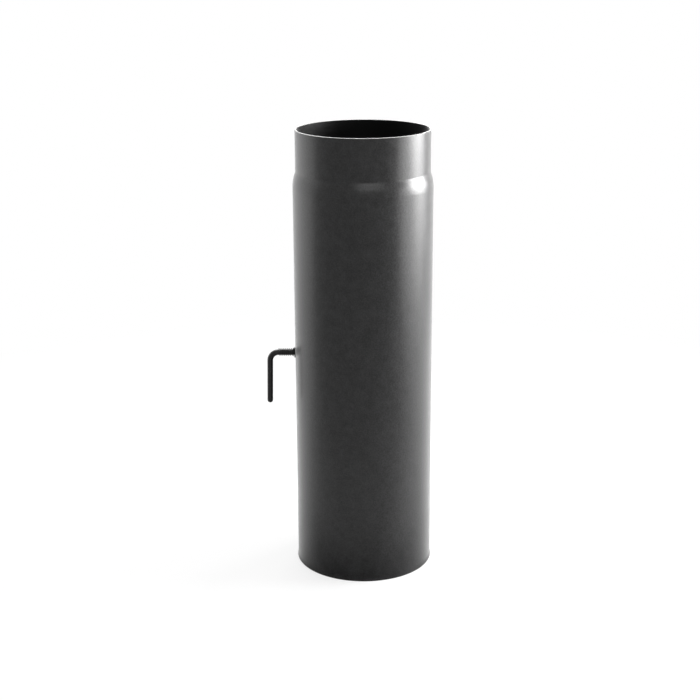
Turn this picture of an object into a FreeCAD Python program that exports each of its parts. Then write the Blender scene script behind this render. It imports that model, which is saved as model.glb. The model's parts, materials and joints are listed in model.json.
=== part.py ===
import FreeCAD, Part
import math
import os

Vector = FreeCAD.Vector

# Stove pipe with a throttle damper.
# Sizes are in millimetres. The origin is the centre of the foot ring, +Z runs up the
# pipe axis, the handle points to -X and the weld seam lies at +Y.

# Pipe
pipe_bore = 150.0            # inside diameter of the straight body
pipe_wall = 2.0
pipe_length = 500.0
rim_round = 0.7              # rounding of the two cut rims

# Plug-in collar at the top
collar_length = 45.0         # straight stretch that enters the next pipe
collar_clearance = 1.45      # radial, collar inside the next pipe's socket
swage_length = 17.5          # S-shaped draw-in between body and collar
swage_throat = 8.0           # outside radius of the crease under the collar

# Socket and lip at the foot
socket_growth = 0.3          # radial widening of the socket over the body bore
socket_blend = 30.0          # length of the taper between socket and body
lip_height = 6.0
lip_flare = 0.8

# Weld seam along the back
seam_width = 4.0
seam_height = 0.35
seam_margin = 6.0            # plain wall left between the seam and the shaped ends

# Rod with its bent handle
rod_height = 248.0           # rod axis above the foot
rod_diameter = 6.5
rod_hole_clearance = 0.08    # radial, rod turning in the pipe wall
rod_end_inset = 0.5          # far end below the outside of the wall
rod_end_chamfer = 0.6
handle_stand_off = 28.7      # pipe wall to the middle of the hanging arm
handle_drop = 60.0           # rod axis to the tip of the arm
handle_bend_radius = 9.5     # centre line of the bend
handle_splay = 1.2           # degrees that the arm leans outwards

# Washers on the rod
washer_diameter = 12.5
washer_thickness = 1.2
washer_clearance = 0.15      # radial, washer on the rod
seat_margin = 0.3            # coined seat beyond the outer washer's edge
curved_gap = 0.3             # inner washer's edge to the curved inside wall

# Spring on the rod
spring_wire = 1.0
spring_clearance = 0.1       # radial, running turns over the rod
spring_pitch = 2.26          # running turns
spring_closed_turns = 1.0    # turns that lie together at the washer
spring_end_growth = 0.75     # radial, last turn wider than the running turns
spring_turn_gap = 0.06       # between the closed turns
spring_seat_gap = 0.05       # wire to the washer and to the start of the bend

# Split pin through the rod
pin_diameter = 1.9
pin_hole_clearance = 0.06
pin_washer_gap = 0.1
pin_split = 0.1              # gap between the two legs
pin_eye_radius = 1.6         # centre line of the eye
pin_eye_wire = 1.0
pin_bend_radius = 1.5
pin_bend_angle = 55.0
pin_tail = 2.5

# Throttle disc
disc_gap = 2.0               # radial, disc edge to the pipe bore
disc_thickness = 2.0
disc_flat_depth = 14.0       # depth of the flat cut off at the top and at the bottom
channel_clearance = 0.1      # radial, rod in the pressed channel
sheet_bend = 1.0             # rounding where a channel leaves its sheet
notch_clearance = 1.5        # disc to the pin and the inner washer

# Saddle clips that hold the rod in the channel
clip_thickness = 1.5
clip_length = 12.0           # along the rod
clip_inset = 35.0            # disc edge to the middle of a clip
clip_clearance = 0.05        # radial, clip over the rod
clip_edge = 4.5              # middle of the bolt to the end of the clip

# Clip bolts and nuts
bolt_diameter = 4.0
bolt_hole_clearance = 0.15
bolt_head_height = 2.8
bolt_tail = 1.0              # thread beyond the nut
hex_across_flats = 7.0
nut_height = 3.2
nut_thread_clearance = 0.05
spanner_gap = 0.6            # nut corner to the channel's bend

# Places that follow from the sizes above
body_radius = pipe_bore / 2
body_outside = body_radius + pipe_wall
socket_radius = body_radius + socket_growth
collar_outside = socket_radius - collar_clearance
collar_radius = collar_outside - pipe_wall
socket_top = lip_height + collar_length
body_bottom = socket_top + socket_blend
collar_bottom = pipe_length - collar_length
swage_bottom = collar_bottom - swage_length

rod_radius = rod_diameter / 2
arm_x = -(body_outside + handle_stand_off)
bend_start_x = arm_x + handle_bend_radius

washer_radius = washer_diameter / 2
seat_radius = washer_radius + seat_margin
seat_x = -math.sqrt(body_outside ** 2 - seat_radius ** 2)
washer_face_x = seat_x - washer_thickness
inner_washer_x = -(math.sqrt(body_radius ** 2 - washer_radius ** 2) - curved_gap)
inner_washer_face_x = inner_washer_x + washer_thickness

pin_radius = pin_diameter / 2
pin_x = inner_washer_face_x + pin_washer_gap + pin_radius

disc_radius = body_radius - disc_gap
channel_radius = rod_radius + channel_clearance
channel_outside = channel_radius + disc_thickness
notch_x = pin_x + pin_radius + notch_clearance
notch_half_width = washer_radius + notch_clearance

bolt_radius = bolt_diameter / 2
hex_corner_radius = hex_across_flats / math.sqrt(3)
bolt_offset = channel_outside + sheet_bend + spanner_gap + hex_corner_radius
clip_x = disc_radius - clip_inset
clip_half_width = bolt_offset + clip_edge

overrun = 5.0                # how far a cutting solid reaches past what it cuts

along_x = Vector(1, 0, 0)
along_y = Vector(0, 1, 0)
along_z = Vector(0, 0, 1)


def at(x, y, z):
    # A point given from the rod axis at the middle of the pipe
    return Vector(x, y, rod_height + z)


def profile_point(radius, height):
    return Vector(radius, 0, height)


def line(start, end):
    return Part.LineSegment(start, end).toShape()


def arc_round(centre, radius, from_angle, to_angle):
    # Arc in the XZ plane, angles in radians from +X towards +Z
    points = []
    for angle in (from_angle, (from_angle + to_angle) / 2, to_angle):
        points.append(centre + Vector(radius * math.cos(angle), 0, radius * math.sin(angle)))
    return Part.Arc(*points).toShape()


def turned(edges):
    # Closed outline in the XZ plane, turned once round the pipe axis
    outline = Part.Face(Part.Wire(Part.__sortEdges__(edges)))
    return outline.revolve(Vector(0, 0, 0), along_z, 360)


def lip_edges():
    # The lip curves outwards round one centre, so the wall keeps its thickness
    bend = (lip_height ** 2 + lip_flare ** 2) / (2 * lip_flare)
    centre = profile_point(socket_radius + bend, lip_height)
    rise = lip_height - rim_round
    edges = []
    feet = []
    for radius, reach in ((bend, bend - rim_round), (bend - pipe_wall, bend - pipe_wall + rim_round)):
        foot_angle = math.pi + math.asin(rise / reach)
        corner = centre + Vector(reach * math.cos(foot_angle), 0, -rise)
        edges.append(arc_round(centre, radius, math.pi, foot_angle))
        if reach < radius:
            edges.append(arc_round(corner, rim_round, foot_angle, 1.5 * math.pi))
        else:
            edges.append(arc_round(corner, rim_round, foot_angle - math.pi, -0.5 * math.pi))
        feet.append(profile_point(corner.x, 0))
    edges.append(line(feet[0], feet[1]))
    return edges


def rim_edges():
    # Both edges of the cut rim on top are rounded alike
    inner = profile_point(collar_radius + rim_round, pipe_length - rim_round)
    outer = profile_point(collar_outside - rim_round, pipe_length - rim_round)
    rise = Vector(0, 0, rim_round)
    return [
        arc_round(inner, rim_round, math.pi, math.pi / 2),
        line(inner + rise, outer + rise),
        arc_round(outer, rim_round, math.pi / 2, 0),
    ]


def swage_edges():
    # A long shoulder and a tight throat, tangent to each other and to the walls beside them
    drop = body_outside - collar_outside
    both_radii = (swage_length ** 2 + drop ** 2) / (2 * drop)
    shoulder_radius = both_radii - swage_throat
    sweep = math.asin(swage_length / both_radii)
    shoulder = profile_point(body_outside - shoulder_radius, swage_bottom)
    throat = profile_point(collar_outside + swage_throat, collar_bottom)
    edges = []
    for inset in (0, pipe_wall):
        edges.append(arc_round(shoulder, shoulder_radius - inset, 0, sweep))
        edges.append(arc_round(throat, swage_throat + inset, math.pi, math.pi + sweep))
    return edges


def make_pipe_body():
    outline = lip_edges() + swage_edges() + rim_edges()
    for inset in (0, pipe_wall):
        socket_side = socket_radius + pipe_wall - inset
        body_side = body_outside - inset
        collar_side = collar_outside - inset
        corners = [
            profile_point(socket_side, lip_height),
            profile_point(socket_side, socket_top),
            profile_point(body_side, body_bottom),
            profile_point(body_side, swage_bottom),
        ]
        for start, end in zip(corners, corners[1:]):
            outline.append(line(start, end))
        outline.append(line(profile_point(collar_side, collar_bottom),
                            profile_point(collar_side, pipe_length - rim_round)))
    pipe = turned(outline).fuse(make_seam())
    hole_radius = rod_radius + rod_hole_clearance
    rod_holes = Part.makeCylinder(hole_radius, 2 * (body_outside + overrun), at(-body_outside - overrun, 0, 0), along_x)
    seat = Part.makeCylinder(seat_radius, overrun, at(seat_x, 0, 0), -along_x)
    return pipe.cut([rod_holes, seat]).removeSplitter()


def make_seam():
    # A low round bead whose foot is buried in the wall
    bead_radius = (seam_width ** 2 / 4 + seam_height ** 2) / (2 * seam_height)
    bottom = body_bottom + seam_margin
    height = swage_bottom - seam_margin - bottom
    bead = Part.makeCylinder(bead_radius, height, Vector(0, body_outside + seam_height - bead_radius, bottom))
    inside = Part.makeCylinder(body_outside - pipe_wall / 2, height, Vector(0, 0, bottom))
    return bead.cut(inside)


def make_handle_rod():
    far_x = body_outside - rod_end_inset
    shaft = Part.makeCylinder(rod_radius, far_x - rod_end_chamfer - bend_start_x, at(bend_start_x, 0, 0), along_x)
    chamfer = Part.makeCone(rod_radius, rod_radius - rod_end_chamfer, rod_end_chamfer,
                            at(far_x - rod_end_chamfer, 0, 0), along_x)
    section = Part.Face(Part.Wire(Part.makeCircle(rod_radius, at(bend_start_x, 0, 0), along_x)))
    turn = 90 - handle_splay
    lean = math.radians(handle_splay)
    bend_centre = at(bend_start_x, 0, -handle_bend_radius)
    bend = section.revolve(bend_centre, -along_y, turn)
    arm_direction = Vector(-math.sin(lean), 0, -math.cos(lean))
    arm_start = bend_centre + Vector(-math.cos(lean), 0, math.sin(lean)) * handle_bend_radius
    tip_z = rod_height - handle_drop + rod_radius
    arm_length = (arm_start.z - tip_z) / math.cos(lean)
    arm = Part.makeCylinder(rod_radius, arm_length, arm_start, arm_direction)
    tip = Part.makeSphere(rod_radius, arm_start + arm_direction * arm_length)
    rod = shaft.fuse([chamfer, bend, arm, tip]).removeSplitter()
    hole_radius = pin_radius + pin_hole_clearance
    pin_hole = Part.makeCylinder(hole_radius, 4 * rod_radius, at(pin_x, -2 * rod_radius, 0), along_y)
    return rod.cut(pin_hole)


def make_washer(start_x):
    ring = Part.makeCylinder(washer_radius, washer_thickness, at(start_x, 0, 0), along_x)
    hole = Part.makeCylinder(rod_radius + washer_clearance, washer_thickness, at(start_x, 0, 0), along_x)
    return ring.cut(hole)


def spring_half_turns():
    # Where the wire crosses the plane y = 0, half a turn apart, above and below the rod in turn
    wire_radius = spring_wire / 2
    running_radius = rod_radius + spring_clearance + wire_radius
    closed_pitch = spring_wire + spring_turn_gap
    start_x = washer_face_x - spring_seat_gap - wire_radius
    end_x = bend_start_x + spring_seat_gap + wire_radius
    closed_halves = round(2 * spring_closed_turns)
    running_length = start_x - end_x - closed_pitch * closed_halves / 2
    running_halves = round(2 * running_length / spring_pitch)
    crossings = []
    x = start_x
    for half in range(closed_halves + running_halves + 1):
        narrowing = 0.5 + 0.5 * math.cos(math.pi * min(half / (closed_halves + 1), 1))
        radius = running_radius + spring_end_growth * narrowing
        crossings.append(at(x, 0, radius if half % 2 == 0 else -radius))
        x -= closed_pitch / 2 if half < closed_halves else running_length / running_halves
    return crossings


def make_friction_spring():
    # Closed, wider turns at the washer, then open turns out to the bend of the rod.
    # Each half turn is a leaning half ring that leaves and arrives along Y, so the wire runs on smoothly.
    crossings = spring_half_turns()
    halves = []
    for start, end in zip(crossings, crossings[1:]):
        section = Part.Face(Part.Wire(Part.makeCircle(spring_wire / 2, start, along_y)))
        axis = (start - end).cross(along_y)
        if start.z > end.z:
            axis = -axis
        halves.append(section.revolve((start + end) / 2, axis, 180))
    return halves[0].fuse(halves[1:]).removeSplitter()


def make_split_pin():
    eye_y = -(rod_radius + pin_eye_wire + pin_eye_radius)
    eye = Part.makeTorus(pin_eye_radius, pin_eye_wire / 2, at(pin_x, eye_y, 0), along_x)
    leg_start = eye_y + pin_eye_radius
    leg_end = rod_radius + pin_washer_gap
    pieces = [eye]
    for side in (1, -1):
        flat = side * pin_split / 2
        left = at(pin_x - pin_radius, leg_start, flat)
        right = at(pin_x + pin_radius, leg_start, flat)
        crown = at(pin_x, leg_start, side * pin_radius)
        section = Part.Face(Part.Wire([Part.Arc(left, crown, right).toShape(), line(right, left)]))
        leg = section.extrude(along_y * (leg_end - leg_start))
        bend_section = section.translated(along_y * (leg_end - leg_start))
        bend_centre = at(pin_x, leg_end, side * (pin_radius + pin_bend_radius))
        bend = bend_section.revolve(bend_centre, along_x * side, pin_bend_angle)
        tail_section = bend_section.rotated(bend_centre, along_x * side, pin_bend_angle)
        lean = math.radians(pin_bend_angle)
        tail = tail_section.extrude(Vector(0, math.cos(lean), side * math.sin(lean)) * pin_tail)
        pieces += [leg, bend, tail]
    return pieces[0].fuse(pieces[1:]).removeSplitter()


def make_ridged_sheet(start_x, end_x, half_width, ridge_radius, thickness, side):
    # A sheet on one side of the rod's plane with a half-round channel over the rod
    length = end_x - start_x
    sheet_y = min(0, side * thickness)
    sheet = Part.makeBox(length, thickness, 2 * half_width, at(start_x, sheet_y, -half_width))
    ridge = Part.makeCylinder(ridge_radius + thickness, length, at(start_x, 0, 0), along_x)
    half = Part.makeBox(length, 4 * ridge_radius, 4 * ridge_radius,
                        at(start_x, min(0, side * 4 * ridge_radius), -2 * ridge_radius))
    groove = Part.makeCylinder(ridge_radius, length, at(start_x, 0, 0), along_x)
    folded = sheet.fuse(ridge.common(half)).cut(groove).removeSplitter()
    foot_z = math.sqrt((ridge_radius + thickness) ** 2 - thickness ** 2)
    bends = []
    for edge in folded.Edges:
        middle = edge.CenterOfMass - at((start_x + end_x) / 2, 0, 0)
        mouth = abs(middle.y) < 1e-4 and abs(abs(middle.z) - ridge_radius) < 1e-4
        foot = abs(middle.y - side * thickness) < 1e-4 and abs(abs(middle.z) - foot_z) < 1e-4
        if mouth or foot:
            bends.append(edge)
    return folded.makeFillet(sheet_bend, bends)


def bolt_places():
    places = []
    for x in (-clip_x, clip_x):
        for z in (-bolt_offset, bolt_offset):
            places.append((x, z))
    return places


def make_bolt_holes():
    radius = bolt_radius + bolt_hole_clearance
    depth = 2 * (disc_thickness + clip_thickness + overrun)
    return [Part.makeCylinder(radius, depth, at(x, -depth / 2, z), along_y) for x, z in bolt_places()]


def make_damper_disc():
    sheet = make_ridged_sheet(-disc_radius, disc_radius, disc_radius, channel_radius, disc_thickness, 1)
    depth = 2 * (channel_outside + overrun)
    outline = Part.makeCylinder(disc_radius, depth, at(0, -depth / 2, 0), along_y)
    flat_z = disc_radius - disc_flat_depth
    band = Part.makeBox(2 * disc_radius, depth, 2 * flat_z, at(-disc_radius, -depth / 2, -flat_z))
    notch_length = disc_radius + notch_x + overrun
    notch = Part.makeBox(notch_length, depth, 2 * notch_half_width,
                         at(notch_x - notch_length, -depth / 2, -notch_half_width))
    return sheet.common(outline.common(band)).cut([notch] + make_bolt_holes())


def make_rod_clip(middle_x):
    start_x = middle_x - clip_length / 2
    clip = make_ridged_sheet(start_x, start_x + clip_length, clip_half_width,
                             rod_radius + clip_clearance, clip_thickness, -1)
    return clip.cut(make_bolt_holes())


def make_hexagon(x, start_y, z, height, chamfer_start, chamfer_end):
    # Hexagon prism along +Y with its corners turned off at the stated ends
    corners = []
    for step in range(7):
        angle = math.radians(60 * step)
        corners.append(at(x + hex_corner_radius * math.cos(angle), start_y, z + hex_corner_radius * math.sin(angle)))
    prism = Part.Face(Part.makePolygon(corners)).extrude(along_y * height)
    rise = (hex_corner_radius - hex_across_flats / 2) * math.tan(math.radians(30))
    reach = height / math.tan(math.radians(30))
    flat_radius = hex_corner_radius - rise / math.tan(math.radians(30))
    if chamfer_start:
        prism = prism.common(Part.makeCone(flat_radius, flat_radius + reach, height, at(x, start_y, z), along_y))
    if chamfer_end:
        prism = prism.common(Part.makeCone(flat_radius + reach, flat_radius, height, at(x, start_y, z), along_y))
    return prism


def make_clip_bolt(x, z):
    head_y = -clip_thickness - bolt_head_height
    head = make_hexagon(x, head_y, z, bolt_head_height, True, False)
    shank_length = clip_thickness + disc_thickness + nut_height + bolt_tail
    shank = Part.makeCylinder(bolt_radius, shank_length, at(x, -clip_thickness, z), along_y)
    return head.fuse(shank)


def make_clip_nut(x, z):
    nut = make_hexagon(x, disc_thickness, z, nut_height, True, True)
    thread = Part.makeCylinder(bolt_radius + nut_thread_clearance, nut_height, at(x, disc_thickness, z), along_y)
    return nut.cut(thread)


def make_parts():
    parts = {
        "pipe_body": make_pipe_body(),
        "handle_rod": make_handle_rod(),
        "friction_spring": make_friction_spring(),
        "outer_washer": make_washer(washer_face_x),
        "inner_washer": make_washer(inner_washer_x),
        "split_pin": make_split_pin(),
        "damper_disc": make_damper_disc(),
        "rod_clip_left": make_rod_clip(-clip_x),
        "rod_clip_right": make_rod_clip(clip_x),
    }
    for number, (x, z) in enumerate(bolt_places(), 1):
        parts[f"clip_bolt_{number}"] = make_clip_bolt(x, z)
        parts[f"clip_nut_{number}"] = make_clip_nut(x, z)
    return parts


os.makedirs("parts", exist_ok=True)
for name, shape in make_parts().items():
    shape.exportStep(f"parts/{name}.step")
    print(name, shape.ShapeType, "solids", len(shape.Solids), "valid", shape.isValid(), "mm3", round(shape.Volume, 1))
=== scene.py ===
import json
import math

import bpy
from mathutils import Matrix, Vector


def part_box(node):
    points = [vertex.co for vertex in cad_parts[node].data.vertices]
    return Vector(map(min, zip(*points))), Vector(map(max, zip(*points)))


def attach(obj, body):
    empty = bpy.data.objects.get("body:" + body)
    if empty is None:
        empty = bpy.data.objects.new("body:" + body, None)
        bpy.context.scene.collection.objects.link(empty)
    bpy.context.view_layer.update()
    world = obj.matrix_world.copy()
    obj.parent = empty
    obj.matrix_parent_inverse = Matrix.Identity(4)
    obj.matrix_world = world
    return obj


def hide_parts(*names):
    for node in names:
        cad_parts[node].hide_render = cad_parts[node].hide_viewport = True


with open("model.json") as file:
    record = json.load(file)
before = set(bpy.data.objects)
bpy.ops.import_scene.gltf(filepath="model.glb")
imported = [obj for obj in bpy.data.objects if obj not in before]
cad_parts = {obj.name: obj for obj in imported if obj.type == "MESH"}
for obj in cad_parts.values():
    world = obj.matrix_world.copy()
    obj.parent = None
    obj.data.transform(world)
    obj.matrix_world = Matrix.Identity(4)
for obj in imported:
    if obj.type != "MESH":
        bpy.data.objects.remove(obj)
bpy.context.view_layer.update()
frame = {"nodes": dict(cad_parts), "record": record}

nodes = frame["nodes"]
print("frame loaded:", len(nodes), "nodes")

millimetre = 0.001


def linearColour(hexCode):
    # sRGB hex such as "2b2b2c" to the linear colour that a shader socket takes
    channels = []
    for start in (0, 2, 4):
        value = int(hexCode[start:start + 2], 16) / 255
        channels.append(value / 12.92 if value <= 0.04045 else ((value + 0.055) / 1.055) ** 2.4)
    return (*channels, 1.0)


def addNode(tree, kind, settings=None, **inputs):
    # One node with its settings and its inputs: a value, or an output to link from
    node = tree.nodes.new(kind)
    for name, value in (settings or {}).items():
        setattr(node, name, value)
    for name, value in inputs.items():
        key = int(name[1:]) if name[0] == "i" and name[1:].isdigit() else name.replace("_", " ")
        socket = node.inputs[key]
        if isinstance(value, bpy.types.NodeSocket):
            tree.links.new(value, socket)
        else:
            socket.default_value = value
    return node


def newMaterial(name):
    material = bpy.data.materials.new(name)
    material.use_nodes = True
    material.node_tree.nodes.clear()
    return material, material.node_tree


def closeMaterial(tree, shader):
    addNode(tree, "ShaderNodeOutputMaterial", Surface=shader.outputs[0])


def objectPoint(tree):
    # Object coordinates in millimetres, so that every pattern scale is a real one
    place = addNode(tree, "ShaderNodeTexCoord")
    scaled = addNode(tree, "ShaderNodeVectorMath", {"operation": "SCALE"},
                     i0=place.outputs["Object"], Scale=1000.0)
    return scaled.outputs[0]


def noise(tree, point, size, detail=2.0, roughness=0.5):
    # size is the width of one blotch in millimetres
    return addNode(tree, "ShaderNodeTexNoise", Vector=point, Scale=1 / size, Detail=detail, Roughness=roughness)


def ramp(tree, value, low, high, start, end):
    # Moves a value between two limits to a result between two others
    node = addNode(tree, "ShaderNodeMapRange", {"clamp": True}, i0=value, i1=low, i2=high, i3=start, i4=end)
    return node.outputs[0]


def mixColours(tree, share, first, second):
    node = addNode(tree, "ShaderNodeMix", {"data_type": "RGBA"}, i0=share)
    for socket, colour in ((node.inputs[6], first), (node.inputs[7], second)):
        if isinstance(colour, bpy.types.NodeSocket):
            tree.links.new(colour, socket)
        else:
            socket.default_value = colour
    return node.outputs[2]


def arithmetic(tree, operation, first, second=0.0):
    return addNode(tree, "ShaderNodeMath", {"operation": operation}, i0=first, i1=second).outputs[0]


# Materials

paint = {
    "deep": "020202", "pale": "303031",     # graphite pigment, thicker and thinner spots
    "blotch": (0.2, 0.38), "speck": 0.4,    # share of the paler pigment, and how far the grain shifts it
    "satin": (0.29, 0.35),                  # roughness
    "insideShadeTone": "030303",                       # inside wall: a matt coat, darkened to near black as painted shade in the pipe's hollow
    "edge": "a0a09e",                       # bright bare steel on the cut edge: partly wear, partly a painted highlight that draws the bright rim line
    "mottle": 9.0, "grain": 1.5, "peel": 2.6,
    "rimBand": 0.38, "rimFade": 0.25, "rimMetal": 0.55, "pipeLength": 500.0,
}


def makeGraphiteStovePaint():
    # Sprayed silicone stove paint on steel: satin, a fine grain, pale at a grazing look.
    # The real grain is finer than 1.5 mm and is drawn that coarse so that it shows.
    material, tree = newMaterial("graphiteStovePaint")
    point = objectPoint(tree)
    axes = addNode(tree, "ShaderNodeSeparateXYZ", Vector=point)
    mottle = noise(tree, point, paint["mottle"], 3.0, 0.6)
    grain = noise(tree, point, paint["grain"], 1.5, 0.6)
    peel = noise(tree, point, paint["peel"], 1.0, 0.4)
    blotch = ramp(tree, mottle.outputs[0], 0.35, 0.65, *paint["blotch"])
    speck = ramp(tree, grain.outputs[0], 0.2, 0.8, -paint["speck"], paint["speck"])
    share = arithmetic(tree, "ADD", blotch, speck)
    coat = mixColours(tree, share, linearColour(paint["deep"]), linearColour(paint["pale"]))
    # The surface normal points at the pipe axis on the inside wall
    normal = addNode(tree, "ShaderNodeTexCoord").outputs["Normal"]
    outwards = addNode(tree, "ShaderNodeVectorMath", {"operation": "MULTIPLY"}, i0=point, i1=(1.0, 1.0, 0.0))
    facing = addNode(tree, "ShaderNodeVectorMath", {"operation": "DOT_PRODUCT"},
                     i0=normal, i1=outwards.outputs[0])
    inside = ramp(tree, facing.outputs["Value"], -20.0, -5.0, 1.0, 0.0)
    # Bare steel at the cut rim on top, partly wear and partly a painted highlight for the bright rim line,
    # broken up a little by the grain
    ragged = arithmetic(tree, "MULTIPLY", grain.outputs[0], paint["rimFade"])
    height = arithmetic(tree, "ADD", axes.outputs["Z"], ragged)
    rimStart = paint["pipeLength"] - paint["rimBand"]
    wearAndHighlight = ramp(tree, height, rimStart, rimStart + paint["rimFade"], 0.0, 1.0)
    colour = mixColours(tree, wearAndHighlight, coat, linearColour(paint["edge"]))
    metal = arithmetic(tree, "MULTIPLY", wearAndHighlight, paint["rimMetal"])
    satin = ramp(tree, mottle.outputs[0], 0.3, 0.7, *paint["satin"])
    relief = arithmetic(tree, "ADD", peel.outputs[0], arithmetic(tree, "MULTIPLY", grain.outputs[0], 0.6))
    bump = addNode(tree, "ShaderNodeBump", Strength=0.22, Distance=0.00025, Height=relief)
    sprayed = addNode(tree, "ShaderNodeBsdfPrincipled", Base_Color=colour, Metallic=metal, Roughness=satin,
                      IOR=1.6, Sheen_Weight=0.5, Sheen_Roughness=0.35, Normal=bump.outputs[0])
    # The wall inside carries a matt coat with almost no shine, its colour darkened to near black as painted
    # shade in the pipe's hollow
    shadedInsideCoat = addNode(tree, "ShaderNodeBsdfPrincipled", Base_Color=linearColour(paint["insideShadeTone"]), Roughness=0.5,
                    IOR=1.45, Specular_IOR_Level=0.2, Sheen_Weight=1.0, Sheen_Roughness=0.25,
                    Normal=bump.outputs[0])
    hidden = arithmetic(tree, "MULTIPLY", inside, arithmetic(tree, "SUBTRACT", 1.0, wearAndHighlight))
    coats = addNode(tree, "ShaderNodeMixShader", i0=hidden, i1=sprayed.outputs[0], i2=shadedInsideCoat.outputs[0])
    closeMaterial(tree, coats)
    return material


rodPaint = {"deep": "050505", "pale": "0e0e0e", "grain": 0.9, "mottle": 5.0, "satin": (0.34, 0.44)}


def makeBlackRodPaint():
    # Dipped black paint on drawn round bar: smoother than the sprayed pipe
    material, tree = newMaterial("blackRodPaint")
    point = objectPoint(tree)
    mottle = noise(tree, point, rodPaint["mottle"], 2.0)
    grain = noise(tree, point, rodPaint["grain"], 3.0, 0.6)
    share = arithmetic(tree, "MULTIPLY", mottle.outputs[0], arithmetic(tree, "ADD", grain.outputs[0], 0.5))
    colour = mixColours(tree, share, linearColour(rodPaint["deep"]), linearColour(rodPaint["pale"]))
    rough = ramp(tree, grain.outputs[0], 0.3, 0.7, *rodPaint["satin"])
    bump = addNode(tree, "ShaderNodeBump", Strength=0.1, Distance=0.0001, Height=grain.outputs[0])
    shader = addNode(tree, "ShaderNodeBsdfPrincipled", Base_Color=colour, Roughness=rough,
                     IOR=1.45, Specular_IOR_Level=0.7, Normal=bump.outputs[0])
    closeMaterial(tree, shader)
    return material


springSteel = {"deep": "060606", "pale": "161617", "streak": 0.5}


def makeBluedSpringSteel():
    # Drawn spring wire, oil-blackened: dark with a soft steel sheen where it rubs
    material, tree = newMaterial("bluedSpringSteel")
    point = objectPoint(tree)
    streak = noise(tree, point, springSteel["streak"], 3.0, 0.6)
    deep, pale = linearColour(springSteel["deep"]), linearColour(springSteel["pale"])
    colour = mixColours(tree, streak.outputs[0], deep, pale)
    rough = ramp(tree, streak.outputs[0], 0.3, 0.7, 0.36, 0.5)
    shader = addNode(tree, "ShaderNodeBsdfPrincipled", Base_Color=colour, Metallic=0.35, Roughness=rough)
    closeMaterial(tree, shader)
    return material


sheetSteel = {"deep": "3c3d40", "pale": "5a5b5e", "scale": 14.0, "roll": 0.35}


def makeHotRolledSheet():
    # Hot-rolled sheet with thin grey mill scale, drawn out a little along the rolling direction
    material, tree = newMaterial("hotRolledSheet")
    point = objectPoint(tree)
    rolled = addNode(tree, "ShaderNodeMapping", Vector=point, Scale=(0.12, 1.0, 1.0))
    cloud = noise(tree, point, sheetSteel["scale"], 4.0, 0.6)
    line = noise(tree, rolled.outputs[0], sheetSteel["roll"], 2.0, 0.5)
    share = arithmetic(tree, "MULTIPLY", cloud.outputs[0], arithmetic(tree, "ADD", line.outputs[0], 0.5))
    colour = mixColours(tree, share, linearColour(sheetSteel["deep"]), linearColour(sheetSteel["pale"]))
    rough = ramp(tree, line.outputs[0], 0.3, 0.7, 0.42, 0.6)
    bump = addNode(tree, "ShaderNodeBump", Strength=0.15, Distance=0.0001, Height=line.outputs[0])
    shader = addNode(tree, "ShaderNodeBsdfPrincipled", Base_Color=colour, Metallic=0.8, Roughness=rough,
                     Normal=bump.outputs[0])
    closeMaterial(tree, shader)
    return material


brightSteel = {"deep": "8a8b8d", "pale": "b2b3b4", "cloud": 2.5}


def makePlainSteel():
    # Cold-headed and stamped hardware in plain steel, dull from handling
    material, tree = newMaterial("plainSteel")
    point = objectPoint(tree)
    cloud = noise(tree, point, brightSteel["cloud"], 4.0, 0.6)
    deep, pale = linearColour(brightSteel["deep"]), linearColour(brightSteel["pale"])
    colour = mixColours(tree, cloud.outputs[0], deep, pale)
    rough = ramp(tree, cloud.outputs[0], 0.3, 0.7, 0.3, 0.45)
    shader = addNode(tree, "ShaderNodeBsdfPrincipled", Base_Color=colour, Metallic=1.0, Roughness=rough)
    closeMaterial(tree, shader)
    return material


finishes = {
    "graphite_paint": makeGraphiteStovePaint(),
    "black_rod": makeBlackRodPaint(),
    "black_spring": makeBluedSpringSteel(),
    "disc_steel": makeHotRolledSheet(),
    "bare_steel": makePlainSteel(),
}
print("materials made:", len(finishes))


def dressFrameNodes():
    # Each carried-over node gets the finish of its slot in the record
    for part in frame["record"]["subparts"]:
        mesh = nodes[part["node"]].data
        mesh.materials.clear()
        mesh.materials.append(finishes[part["material_slot"]])


dressFrameNodes()
print("frame nodes dressed")


pipeShade = {"snap": 3.0, "seamHalf": 3.0}      # degrees: off the true round, and beside the weld


def makeRoundPipe():
    # The same pipe with its walls shaded truly round: the solid's mesh shows a line where they close
    mesh = nodes["pipe_body"].data.copy()
    mesh.name = "roundPipe"
    corners = [corner.vector.copy() for corner in mesh.corner_normals]
    for loop in mesh.loops:
        place = mesh.vertices[loop.vertex_index].co
        normal = corners[loop.index]
        flat = Vector((normal.x, normal.y))
        radial = Vector((place.x, place.y))
        besideWeld = math.degrees(radial.angle(Vector((0.0, 1.0)))) < pipeShade["seamHalf"]
        if flat.length < 0.01 or besideWeld:
            continue
        facing = 1.0 if flat.dot(radial) > 0 else -1.0
        if math.degrees(flat.angle(radial * facing)) < pipeShade["snap"]:
            turned = radial.normalized() * facing * flat.length
            corners[loop.index] = Vector((turned.x, turned.y, normal.z))
    mesh.normals_split_custom_set(corners)
    pipe = bpy.data.objects.new("roundPipe", mesh)
    bpy.context.collection.objects.link(pipe)
    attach(pipe, "pipe")
    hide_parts("pipe_body")
    print("round pipe shaded:", len(mesh.polygons), "faces")


makeRoundPipe()


# Geometry Nodes: what repeats or winds is grown by a tree with named sizes


def newGrowth(name, sizes):
    # A Geometry Nodes tree with one named input for each size
    tree = bpy.data.node_groups.new(name, "GeometryNodeTree")
    tree.interface.new_socket("Geometry", in_out="INPUT", socket_type="NodeSocketGeometry")
    for size, value in sizes.items():
        kind = "NodeSocketInt" if isinstance(value, int) else "NodeSocketFloat"
        tree.interface.new_socket(size, in_out="INPUT", socket_type=kind)
    tree.interface.new_socket("Geometry", in_out="OUTPUT", socket_type="NodeSocketGeometry")
    return tree, addNode(tree, "NodeGroupInput").outputs


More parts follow.
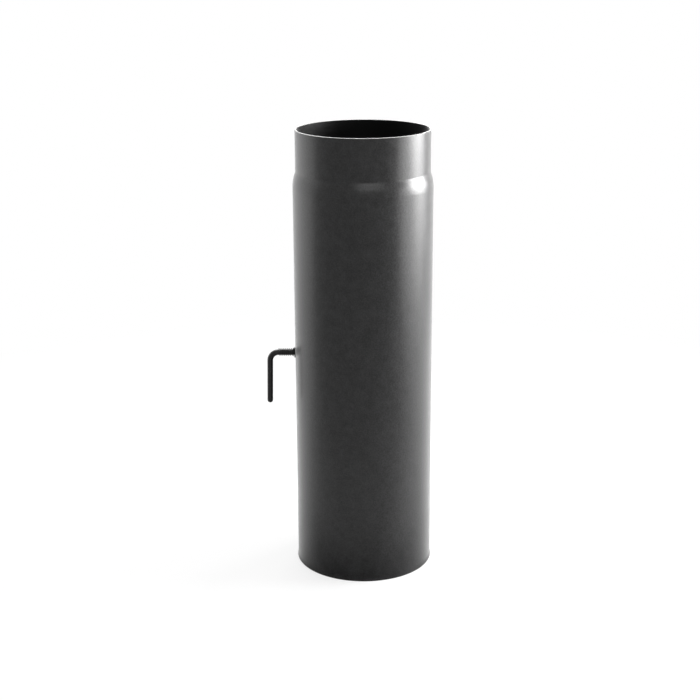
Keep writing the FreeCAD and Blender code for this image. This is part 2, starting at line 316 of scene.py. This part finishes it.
def closeGrowth(tree, geometry, material):
    # Every tree ends in plain mesh with its finish on it
    real = addNode(tree, "GeometryNodeRealizeInstances", Geometry=geometry)
    smooth = addNode(tree, "GeometryNodeSetShadeSmooth", Geometry=real.outputs[0])
    dressed = addNode(tree, "GeometryNodeSetMaterial", Geometry=smooth.outputs[0], Material=material)
    addNode(tree, "NodeGroupOutput", Geometry=dressed.outputs[0])
    return tree


def growPiece(name, tree, sizes, body):
    # Runs the tree once, keeps its result as a plain mesh at the origin and lets it ride
    piece = bpy.data.objects.new(name, bpy.data.meshes.new(name + "Seed"))
    bpy.context.collection.objects.link(piece)
    growth = piece.modifiers.new(name, "NODES")
    growth.node_group = tree
    for socket in tree.interface.items_tree:
        if socket.in_out == "INPUT" and socket.name in sizes:
            growth[socket.identifier] = sizes[socket.name]
    depsgraph = bpy.context.evaluated_depsgraph_get()
    grown = bpy.data.meshes.new_from_object(piece.evaluated_get(depsgraph), depsgraph=depsgraph)
    piece.modifiers.remove(growth)
    piece.data = grown
    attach(piece, body)
    print("grown:", name, len(grown.polygons), "faces")
    return piece


def madeWire(tree, points, wireRadius, sides):
    # A round wire along a row of points, closed at both ends
    path = addNode(tree, "GeometryNodeMeshToCurve", Mesh=points)
    section = addNode(tree, "GeometryNodeCurvePrimitiveCircle", Resolution=sides, Radius=wireRadius)
    swept = addNode(tree, "GeometryNodeCurveToMesh", Curve=path.outputs[0], Profile_Curve=section.outputs[0],
                    Fill_Caps=True)
    return swept.outputs[0]


def helixPoint(tree, turn, radius, advance):
    # A point of a winding round the X axis that starts on top and runs towards -X
    angle = arithmetic(tree, "MULTIPLY", turn, 2 * math.pi)
    y = arithmetic(tree, "MULTIPLY", arithmetic(tree, "SINE", angle), arithmetic(tree, "MULTIPLY", radius, -1.0))
    z = arithmetic(tree, "MULTIPLY", arithmetic(tree, "COSINE", angle), radius)
    x = arithmetic(tree, "MULTIPLY", advance, -1.0)
    return addNode(tree, "ShaderNodeCombineXYZ", X=x, Y=y, Z=z).outputs[0]


# Friction spring on the rod: a closed, wider end turn at the washer, then open turns

springLow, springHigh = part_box("friction_spring")
rodAxis = (springLow.z + springHigh.z) / 2

springSizes = {
    "turns": 8.0, "closedTurns": 1.0, "stepsPerTurn": 36, "sides": 14,
    "wireRadius": 0.5 * millimetre,
    "coilRadius": 3.86 * millimetre,     # running turns, middle of the wire
    "endGrowth": 0.75 * millimetre,      # wider end turn
    "closedPitch": 1.06 * millimetre,
    "length": springHigh.x - springLow.x - 1.0 * millimetre,
}


def makeFrictionSpring():
    tree, size = newGrowth("woundSpring", springSizes)
    turn = arithmetic(tree, "DIVIDE", addNode(tree, "GeometryNodeInputIndex").outputs[0], size["stepsPerTurn"])
    closed = arithmetic(tree, "MINIMUM", turn, size["closedTurns"])
    closedLength = arithmetic(tree, "MULTIPLY", size["closedTurns"], size["closedPitch"])
    openTurns = arithmetic(tree, "SUBTRACT", size["turns"], size["closedTurns"])
    pitch = arithmetic(tree, "DIVIDE", arithmetic(tree, "SUBTRACT", size["length"], closedLength), openTurns)
    advance = arithmetic(tree, "ADD", arithmetic(tree, "MULTIPLY", closed, size["closedPitch"]),
                         arithmetic(tree, "MULTIPLY", arithmetic(tree, "SUBTRACT", turn, closed), pitch))
    # The end turn narrows to the running turns over half a turn more than it is closed
    spread = arithmetic(tree, "ADD", size["closedTurns"], 0.5)
    share = arithmetic(tree, "MINIMUM", arithmetic(tree, "DIVIDE", turn, spread), 1.0)
    wave = arithmetic(tree, "COSINE", arithmetic(tree, "MULTIPLY", share, math.pi))
    growth = arithmetic(tree, "MULTIPLY", size["endGrowth"], ramp(tree, wave, -1.0, 1.0, 0.0, 1.0))
    radius = arithmetic(tree, "ADD", size["coilRadius"], growth)
    count = arithmetic(tree, "ADD", arithmetic(tree, "MULTIPLY", size["turns"], size["stepsPerTurn"]), 1.0)
    row = addNode(tree, "GeometryNodeMeshLine", Count=count)
    wound = addNode(tree, "GeometryNodeSetPosition", Geometry=row.outputs[0],
                    Position=helixPoint(tree, turn, radius, advance))
    wire = madeWire(tree, wound.outputs[0], size["wireRadius"], size["sides"])
    start = (springHigh.x - springSizes["wireRadius"], 0.0, rodAxis)
    placed = addNode(tree, "GeometryNodeTransform", Geometry=wire, Translation=start)
    closeGrowth(tree, placed.outputs[0], finishes["black_spring"])
    spring = growPiece("frictionSpring", tree, springSizes, "damper")
    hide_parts("friction_spring")


makeFrictionSpring()


# Weld ripples: the crescents that each pool of the seam weld leaves on its bead

pipeLow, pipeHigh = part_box("pipe_body")

rippleSizes = {
    "count": 264, "points": 7, "sides": 5, "seed": 11,
    "bottom": 87.3 * millimetre, "top": 430.7 * millimetre,
    "halfWidth": 1.75 * millimetre, "sag": 1.0 * millimetre,
    "beadTop": 77.35 * millimetre,       # pipe axis to the crest of the bead
    "beadRadius": 5.9 * millimetre,
    "ridge": 0.4 * millimetre, "proud": 0.12 * millimetre,
}


def makeWeldRipples():
    tree, size = newGrowth("weldPools", rippleSizes)
    index = addNode(tree, "GeometryNodeInputIndex").outputs[0]
    # One crescent: across the bead, following its crown, its ends trailing downwards
    last = arithmetic(tree, "SUBTRACT", size["points"], 1.0)
    across = ramp(tree, arithmetic(tree, "DIVIDE", index, last), 0.0, 1.0, -1.0, 1.0)
    x = arithmetic(tree, "MULTIPLY", across, size["halfWidth"])
    squared = arithmetic(tree, "MULTIPLY", across, across)
    z = arithmetic(tree, "MULTIPLY", arithmetic(tree, "MULTIPLY", squared, size["sag"]), -1.0)
    crown = arithmetic(tree, "DIVIDE", arithmetic(tree, "MULTIPLY", x, x),
                       arithmetic(tree, "MULTIPLY", size["beadRadius"], -2.0))
    crest = arithmetic(tree, "SUBTRACT", arithmetic(tree, "ADD", size["beadTop"], size["proud"]), size["ridge"])
    y = arithmetic(tree, "ADD", crown, crest)
    row = addNode(tree, "GeometryNodeMeshLine", Count=size["points"])
    bent = addNode(tree, "GeometryNodeSetPosition", Geometry=row.outputs[0],
                   Position=addNode(tree, "ShaderNodeCombineXYZ", X=x, Y=y, Z=z).outputs[0])
    crescent = madeWire(tree, bent.outputs[0], size["ridge"], size["sides"])
    # A row of them up the seam, no two quite alike
    step = arithmetic(tree, "DIVIDE", arithmetic(tree, "SUBTRACT", size["top"], size["bottom"]), size["count"])
    seam = addNode(tree, "GeometryNodeMeshLine", Count=size["count"],
                   Start_Location=addNode(tree, "ShaderNodeCombineXYZ", Z=size["bottom"]).outputs[0],
                   Offset=addNode(tree, "ShaderNodeCombineXYZ", Z=step).outputs[0])
    stretch = addNode(tree, "FunctionNodeRandomValue", {"data_type": "FLOAT_VECTOR"},
                      i0=(0.9, 0.9995, 0.8), i1=(1.04, 1.0, 1.25), Seed=size["seed"])
    tilt = addNode(tree, "FunctionNodeRandomValue", {"data_type": "FLOAT_VECTOR"},
                   i0=(0.0, -0.08, 0.0), i1=(0.0, 0.08, 0.0), Seed=arithmetic(tree, "ADD", size["seed"], 1.0))
    pools = addNode(tree, "GeometryNodeInstanceOnPoints", Points=seam.outputs[0], Instance=crescent,
                    Rotation=tilt.outputs[0], Scale=stretch.outputs[0])
    closeGrowth(tree, pools.outputs[0], finishes["graphite_paint"])
    growPiece("weldRipples", tree, rippleSizes, "pipe")


makeWeldRipples()


# Threads on the tails of the clip bolts, past their nuts

boltLow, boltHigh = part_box("clip_bolt_4")

threadSizes = {
    "turns": 1.2, "stepsPerTurn": 32, "sides": 4,
    "pitch": 0.7 * millimetre, "ridge": 0.24 * millimetre,
    "radius": 1.92 * millimetre,         # bolt axis to the middle of the ridge
    "acrossX": boltLow.x + boltHigh.x, "acrossZ": boltLow.z + boltHigh.z - 2 * rodAxis,
    "tailEnd": boltHigh.y - 0.12 * millimetre,
}


def makeBoltThreads():
    tree, size = newGrowth("cutThread", threadSizes)
    turn = arithmetic(tree, "DIVIDE", addNode(tree, "GeometryNodeInputIndex").outputs[0], size["stepsPerTurn"])
    count = arithmetic(tree, "ADD", arithmetic(tree, "MULTIPLY", size["turns"], size["stepsPerTurn"]), 1.0)
    row = addNode(tree, "GeometryNodeMeshLine", Count=count)
    advance = arithmetic(tree, "MULTIPLY", turn, size["pitch"])
    wound = addNode(tree, "GeometryNodeSetPosition", Geometry=row.outputs[0],
                    Position=helixPoint(tree, turn, size["radius"], advance))
    ridge = madeWire(tree, wound.outputs[0], size["ridge"], size["sides"])
    # The four bolts stand at the corners of an upright rectangle, their tails towards +Y
    corners = addNode(tree, "GeometryNodeMeshGrid", Size_X=size["acrossX"], Size_Y=size["acrossZ"],
                      Vertices_X=2, Vertices_Y=2)
    tails = addNode(tree, "ShaderNodeCombineXYZ", Y=size["tailEnd"], Z=rodAxis)
    upright = addNode(tree, "GeometryNodeTransform", Geometry=corners.outputs[0],
                      Translation=tails.outputs[0], Rotation=(math.pi / 2, 0.0, 0.0))
    turned = addNode(tree, "GeometryNodeInstanceOnPoints", Points=upright.outputs[0], Instance=ridge,
                     Rotation=(0.0, 0.0, math.pi / 2))
    closeGrowth(tree, turned.outputs[0], finishes["bare_steel"])
    growPiece("boltThreads", tree, threadSizes, "damper")


makeBoltThreads()


# Studio: pale floor, soft lamps mostly at the right, and a painted darker reflection in front that only gloss
# sees

studio = {
    "floorRadius": 14.0, "floorSides": 96, "floorColour": "f4f4f4",
    "footRadius": 0.077, "footEdge": 0.002, "nearRadius": 0.2, "shadeRadius": 0.25, "farRadius": 1.0,
    "nearGlow": 0.75, "behindGlow": 0.85, "footShade": 0.1,
    "frontGlossLevel": 0.38,                      # painted darker reflection in front, beside the camera, as gloss sees it
    "ambient": 0.6,
    "key": {"place": (1.287, 0.18, 0.64), "aim": (0.0, 0.0, 0.3), "width": 0.75, "height": 0.5, "power": 26.0},
    "side": {"place": (1.295, -0.11, 0.35), "aim": (0.0, 0.0, 0.3), "width": 1.2, "height": 0.75, "power": 9.5},
    "low": {"place": (1.25, 0.34, 0.42), "aim": (0.0, 0.0, 0.35), "width": 0.7, "height": 0.5, "power": 6.5},
    "over": {"place": (0.92, 0.92, 0.95), "aim": (0.0, 0.0, 0.4), "width": 0.4, "height": 0.25, "power": 8.0},
    "left": {"place": (-1.22, 0.44, 0.55), "aim": (0.0, 0.0, 0.3), "width": 1.2, "height": 1.15, "power": 1.5},
    "rear": {"place": (-0.1, 0.9, 1.15), "aim": (0.0, 0.35, 0.0), "width": 0.8, "height": 0.5, "power": 10.0},
    "front": {"place": (0.226, -1.28, 1.0), "aim": (0.0, 0.0, 0.43), "width": 1.0, "height": 0.5, "power": 2.0},
}


def seenDirectly(tree, camera=1.0, mirror=1.0):
    # A share for what the camera sees, and one for what it sees by way of gloss or glass
    path = addNode(tree, "ShaderNodeLightPath")
    mirrored = arithmetic(tree, "MAXIMUM", path.outputs["Is Glossy Ray"], path.outputs["Is Transmission Ray"])
    return arithmetic(tree, "MAXIMUM", arithmetic(tree, "MULTIPLY", path.outputs["Is Camera Ray"], camera),
                      arithmetic(tree, "MULTIPLY", mirrored, mirror))


def makeFloor():
    bpy.ops.mesh.primitive_circle_add(vertices=studio["floorSides"], radius=studio["floorRadius"],
                                      fill_type="NGON")
    floor = bpy.context.object
    floor.name = "floor"
    material, tree = newMaterial("paleStudioFloor")
    place = addNode(tree, "ShaderNodeTexCoord").outputs["Object"]
    away = addNode(tree, "ShaderNodeVectorMath", {"operation": "LENGTH"}, i0=place).outputs["Value"]
    # The glow gives way to real light round the foot, where the shadow lies, and within the pipe
    footStart = studio["footRadius"] - studio["footEdge"]
    footEnd = studio["footRadius"] + studio["footEdge"]
    outside = ramp(tree, away, footStart, footEnd, 0.0, 1.0)
    seen = ramp(tree, away, studio["nearRadius"], studio["farRadius"], studio["nearGlow"], 1.0)
    depth = addNode(tree, "ShaderNodeSeparateXYZ", Vector=place).outputs["Y"]
    behind = ramp(tree, depth, -0.1, 0.0, 0.0, 1.0)
    mirrored = arithmetic(tree, "MAXIMUM", arithmetic(tree, "MULTIPLY", behind, studio["behindGlow"]),
                          ramp(tree, away, studio["nearRadius"], studio["farRadius"], 0.0, 1.0))
    share = seenDirectly(tree, arithmetic(tree, "MULTIPLY", outside, seen), mirrored)
    # Painted shade, for gloss only: mirrored in the wall, the floor is darkened towards the foot as a painted
    # contact shadow and towards the front as a painted darker reflection
    shade = arithmetic(tree, "MAXIMUM", behind,
                       ramp(tree, away, studio["footRadius"], studio["shadeRadius"], studio["footShade"], 1.0))
    frontDimming = ramp(tree, depth, -0.2, 0.1, studio["frontGlossLevel"], 1.0)
    lit = arithmetic(tree, "MULTIPLY", shade, frontDimming)
    dark = seenDirectly(tree, 0.0, arithmetic(tree, "SUBTRACT", 1.0, lit))
    colour = mixColours(tree, dark, linearColour(studio["floorColour"]), (0.0, 0.0, 0.0, 1.0))
    matt = addNode(tree, "ShaderNodeBsdfDiffuse", Color=colour)
    level = arithmetic(tree, "SUBTRACT", 1.0, dark)
    glow = addNode(tree, "ShaderNodeEmission", Color=(1.0, 1.0, 1.0, 1.0), Strength=level)
    closeMaterial(tree, addNode(tree, "ShaderNodeMixShader", i0=share, i1=matt.outputs[0], i2=glow.outputs[0]))
    floor.data.materials.append(material)


def makeWorld():
    world = bpy.data.worlds.new("studioWorld")
    world.use_nodes = True
    tree = world.node_tree
    tree.nodes.clear()
    ambient = addNode(tree, "ShaderNodeBackground", Color=(1.0, 1.0, 1.0, 1.0), Strength=studio["ambient"])
    # The camera sees white; gloss sees white behind the pipe and a painted darker reflection in front of it
    towards = addNode(tree, "ShaderNodeTexCoord").outputs["Generated"]
    depth = addNode(tree, "ShaderNodeSeparateXYZ", Vector=towards).outputs["Y"]
    frontDimming = ramp(tree, depth, -0.4, 0.2, studio["frontGlossLevel"], 1.0)
    dark = seenDirectly(tree, 0.0, arithmetic(tree, "SUBTRACT", 1.0, frontDimming))
    level = arithmetic(tree, "SUBTRACT", 1.0, dark)
    white = addNode(tree, "ShaderNodeBackground", Color=(1.0, 1.0, 1.0, 1.0), Strength=level)
    seen = seenDirectly(tree)
    mixed = addNode(tree, "ShaderNodeMixShader", i0=seen, i1=ambient.outputs[0], i2=white.outputs[0])
    addNode(tree, "ShaderNodeOutputWorld", Surface=mixed.outputs[0])
    bpy.context.scene.world = world


def addSoftbox(name, box):
    light = bpy.data.lights.new(name, "AREA")
    light.shape = "RECTANGLE"
    light.size = box["width"]
    light.size_y = box["height"]
    light.energy = box["power"]
    lamp = bpy.data.objects.new(name, light)
    place = Vector(box["place"])
    towards = Vector(box["aim"]) - place
    lamp.matrix_world = Matrix.Translation(place) @ towards.to_track_quat("-Z", "Y").to_matrix().to_4x4()
    bpy.context.collection.objects.link(lamp)


makeFloor()
makeWorld()
for lampName in ("key", "side", "low", "over", "left", "rear", "front"):
    addSoftbox(lampName + "Light", studio[lampName])
print("studio lit")


# Camera as in the photograph, from the rims and the sides of the pipe

cameraView = {
    "place": (-15.2, -1488.65, 709.6),   # millimetres from the foot centre
    "lookDown": 17.154, "roll": -0.332,  # degrees
    "lens": 70.81, "sensor": 36.0,
}


def makeCamera():
    down = math.radians(cameraView["lookDown"])
    roll = math.radians(cameraView["roll"])
    forward = Vector((0.0, math.cos(down), -math.sin(down)))
    side = Vector((1.0, 0.0, 0.0))
    top = Vector((0.0, math.sin(down), math.cos(down)))
    right = side * math.cos(roll) + top * math.sin(roll)
    upwards = top * math.cos(roll) - side * math.sin(roll)
    turn = Matrix((right, upwards, -forward)).transposed().to_4x4()
    data = bpy.data.cameras.new("photoCamera")
    data.lens = cameraView["lens"]
    data.sensor_width = cameraView["sensor"]
    data.sensor_fit = "HORIZONTAL"
    camera = bpy.data.objects.new("photoCamera", data)
    camera.matrix_world = Matrix.Translation(Vector(cameraView["place"]) * millimetre) @ turn
    bpy.context.collection.objects.link(camera)
    bpy.context.scene.camera = camera


makeCamera()
bpy.context.scene.view_settings.view_transform = "Standard"
print("camera placed")
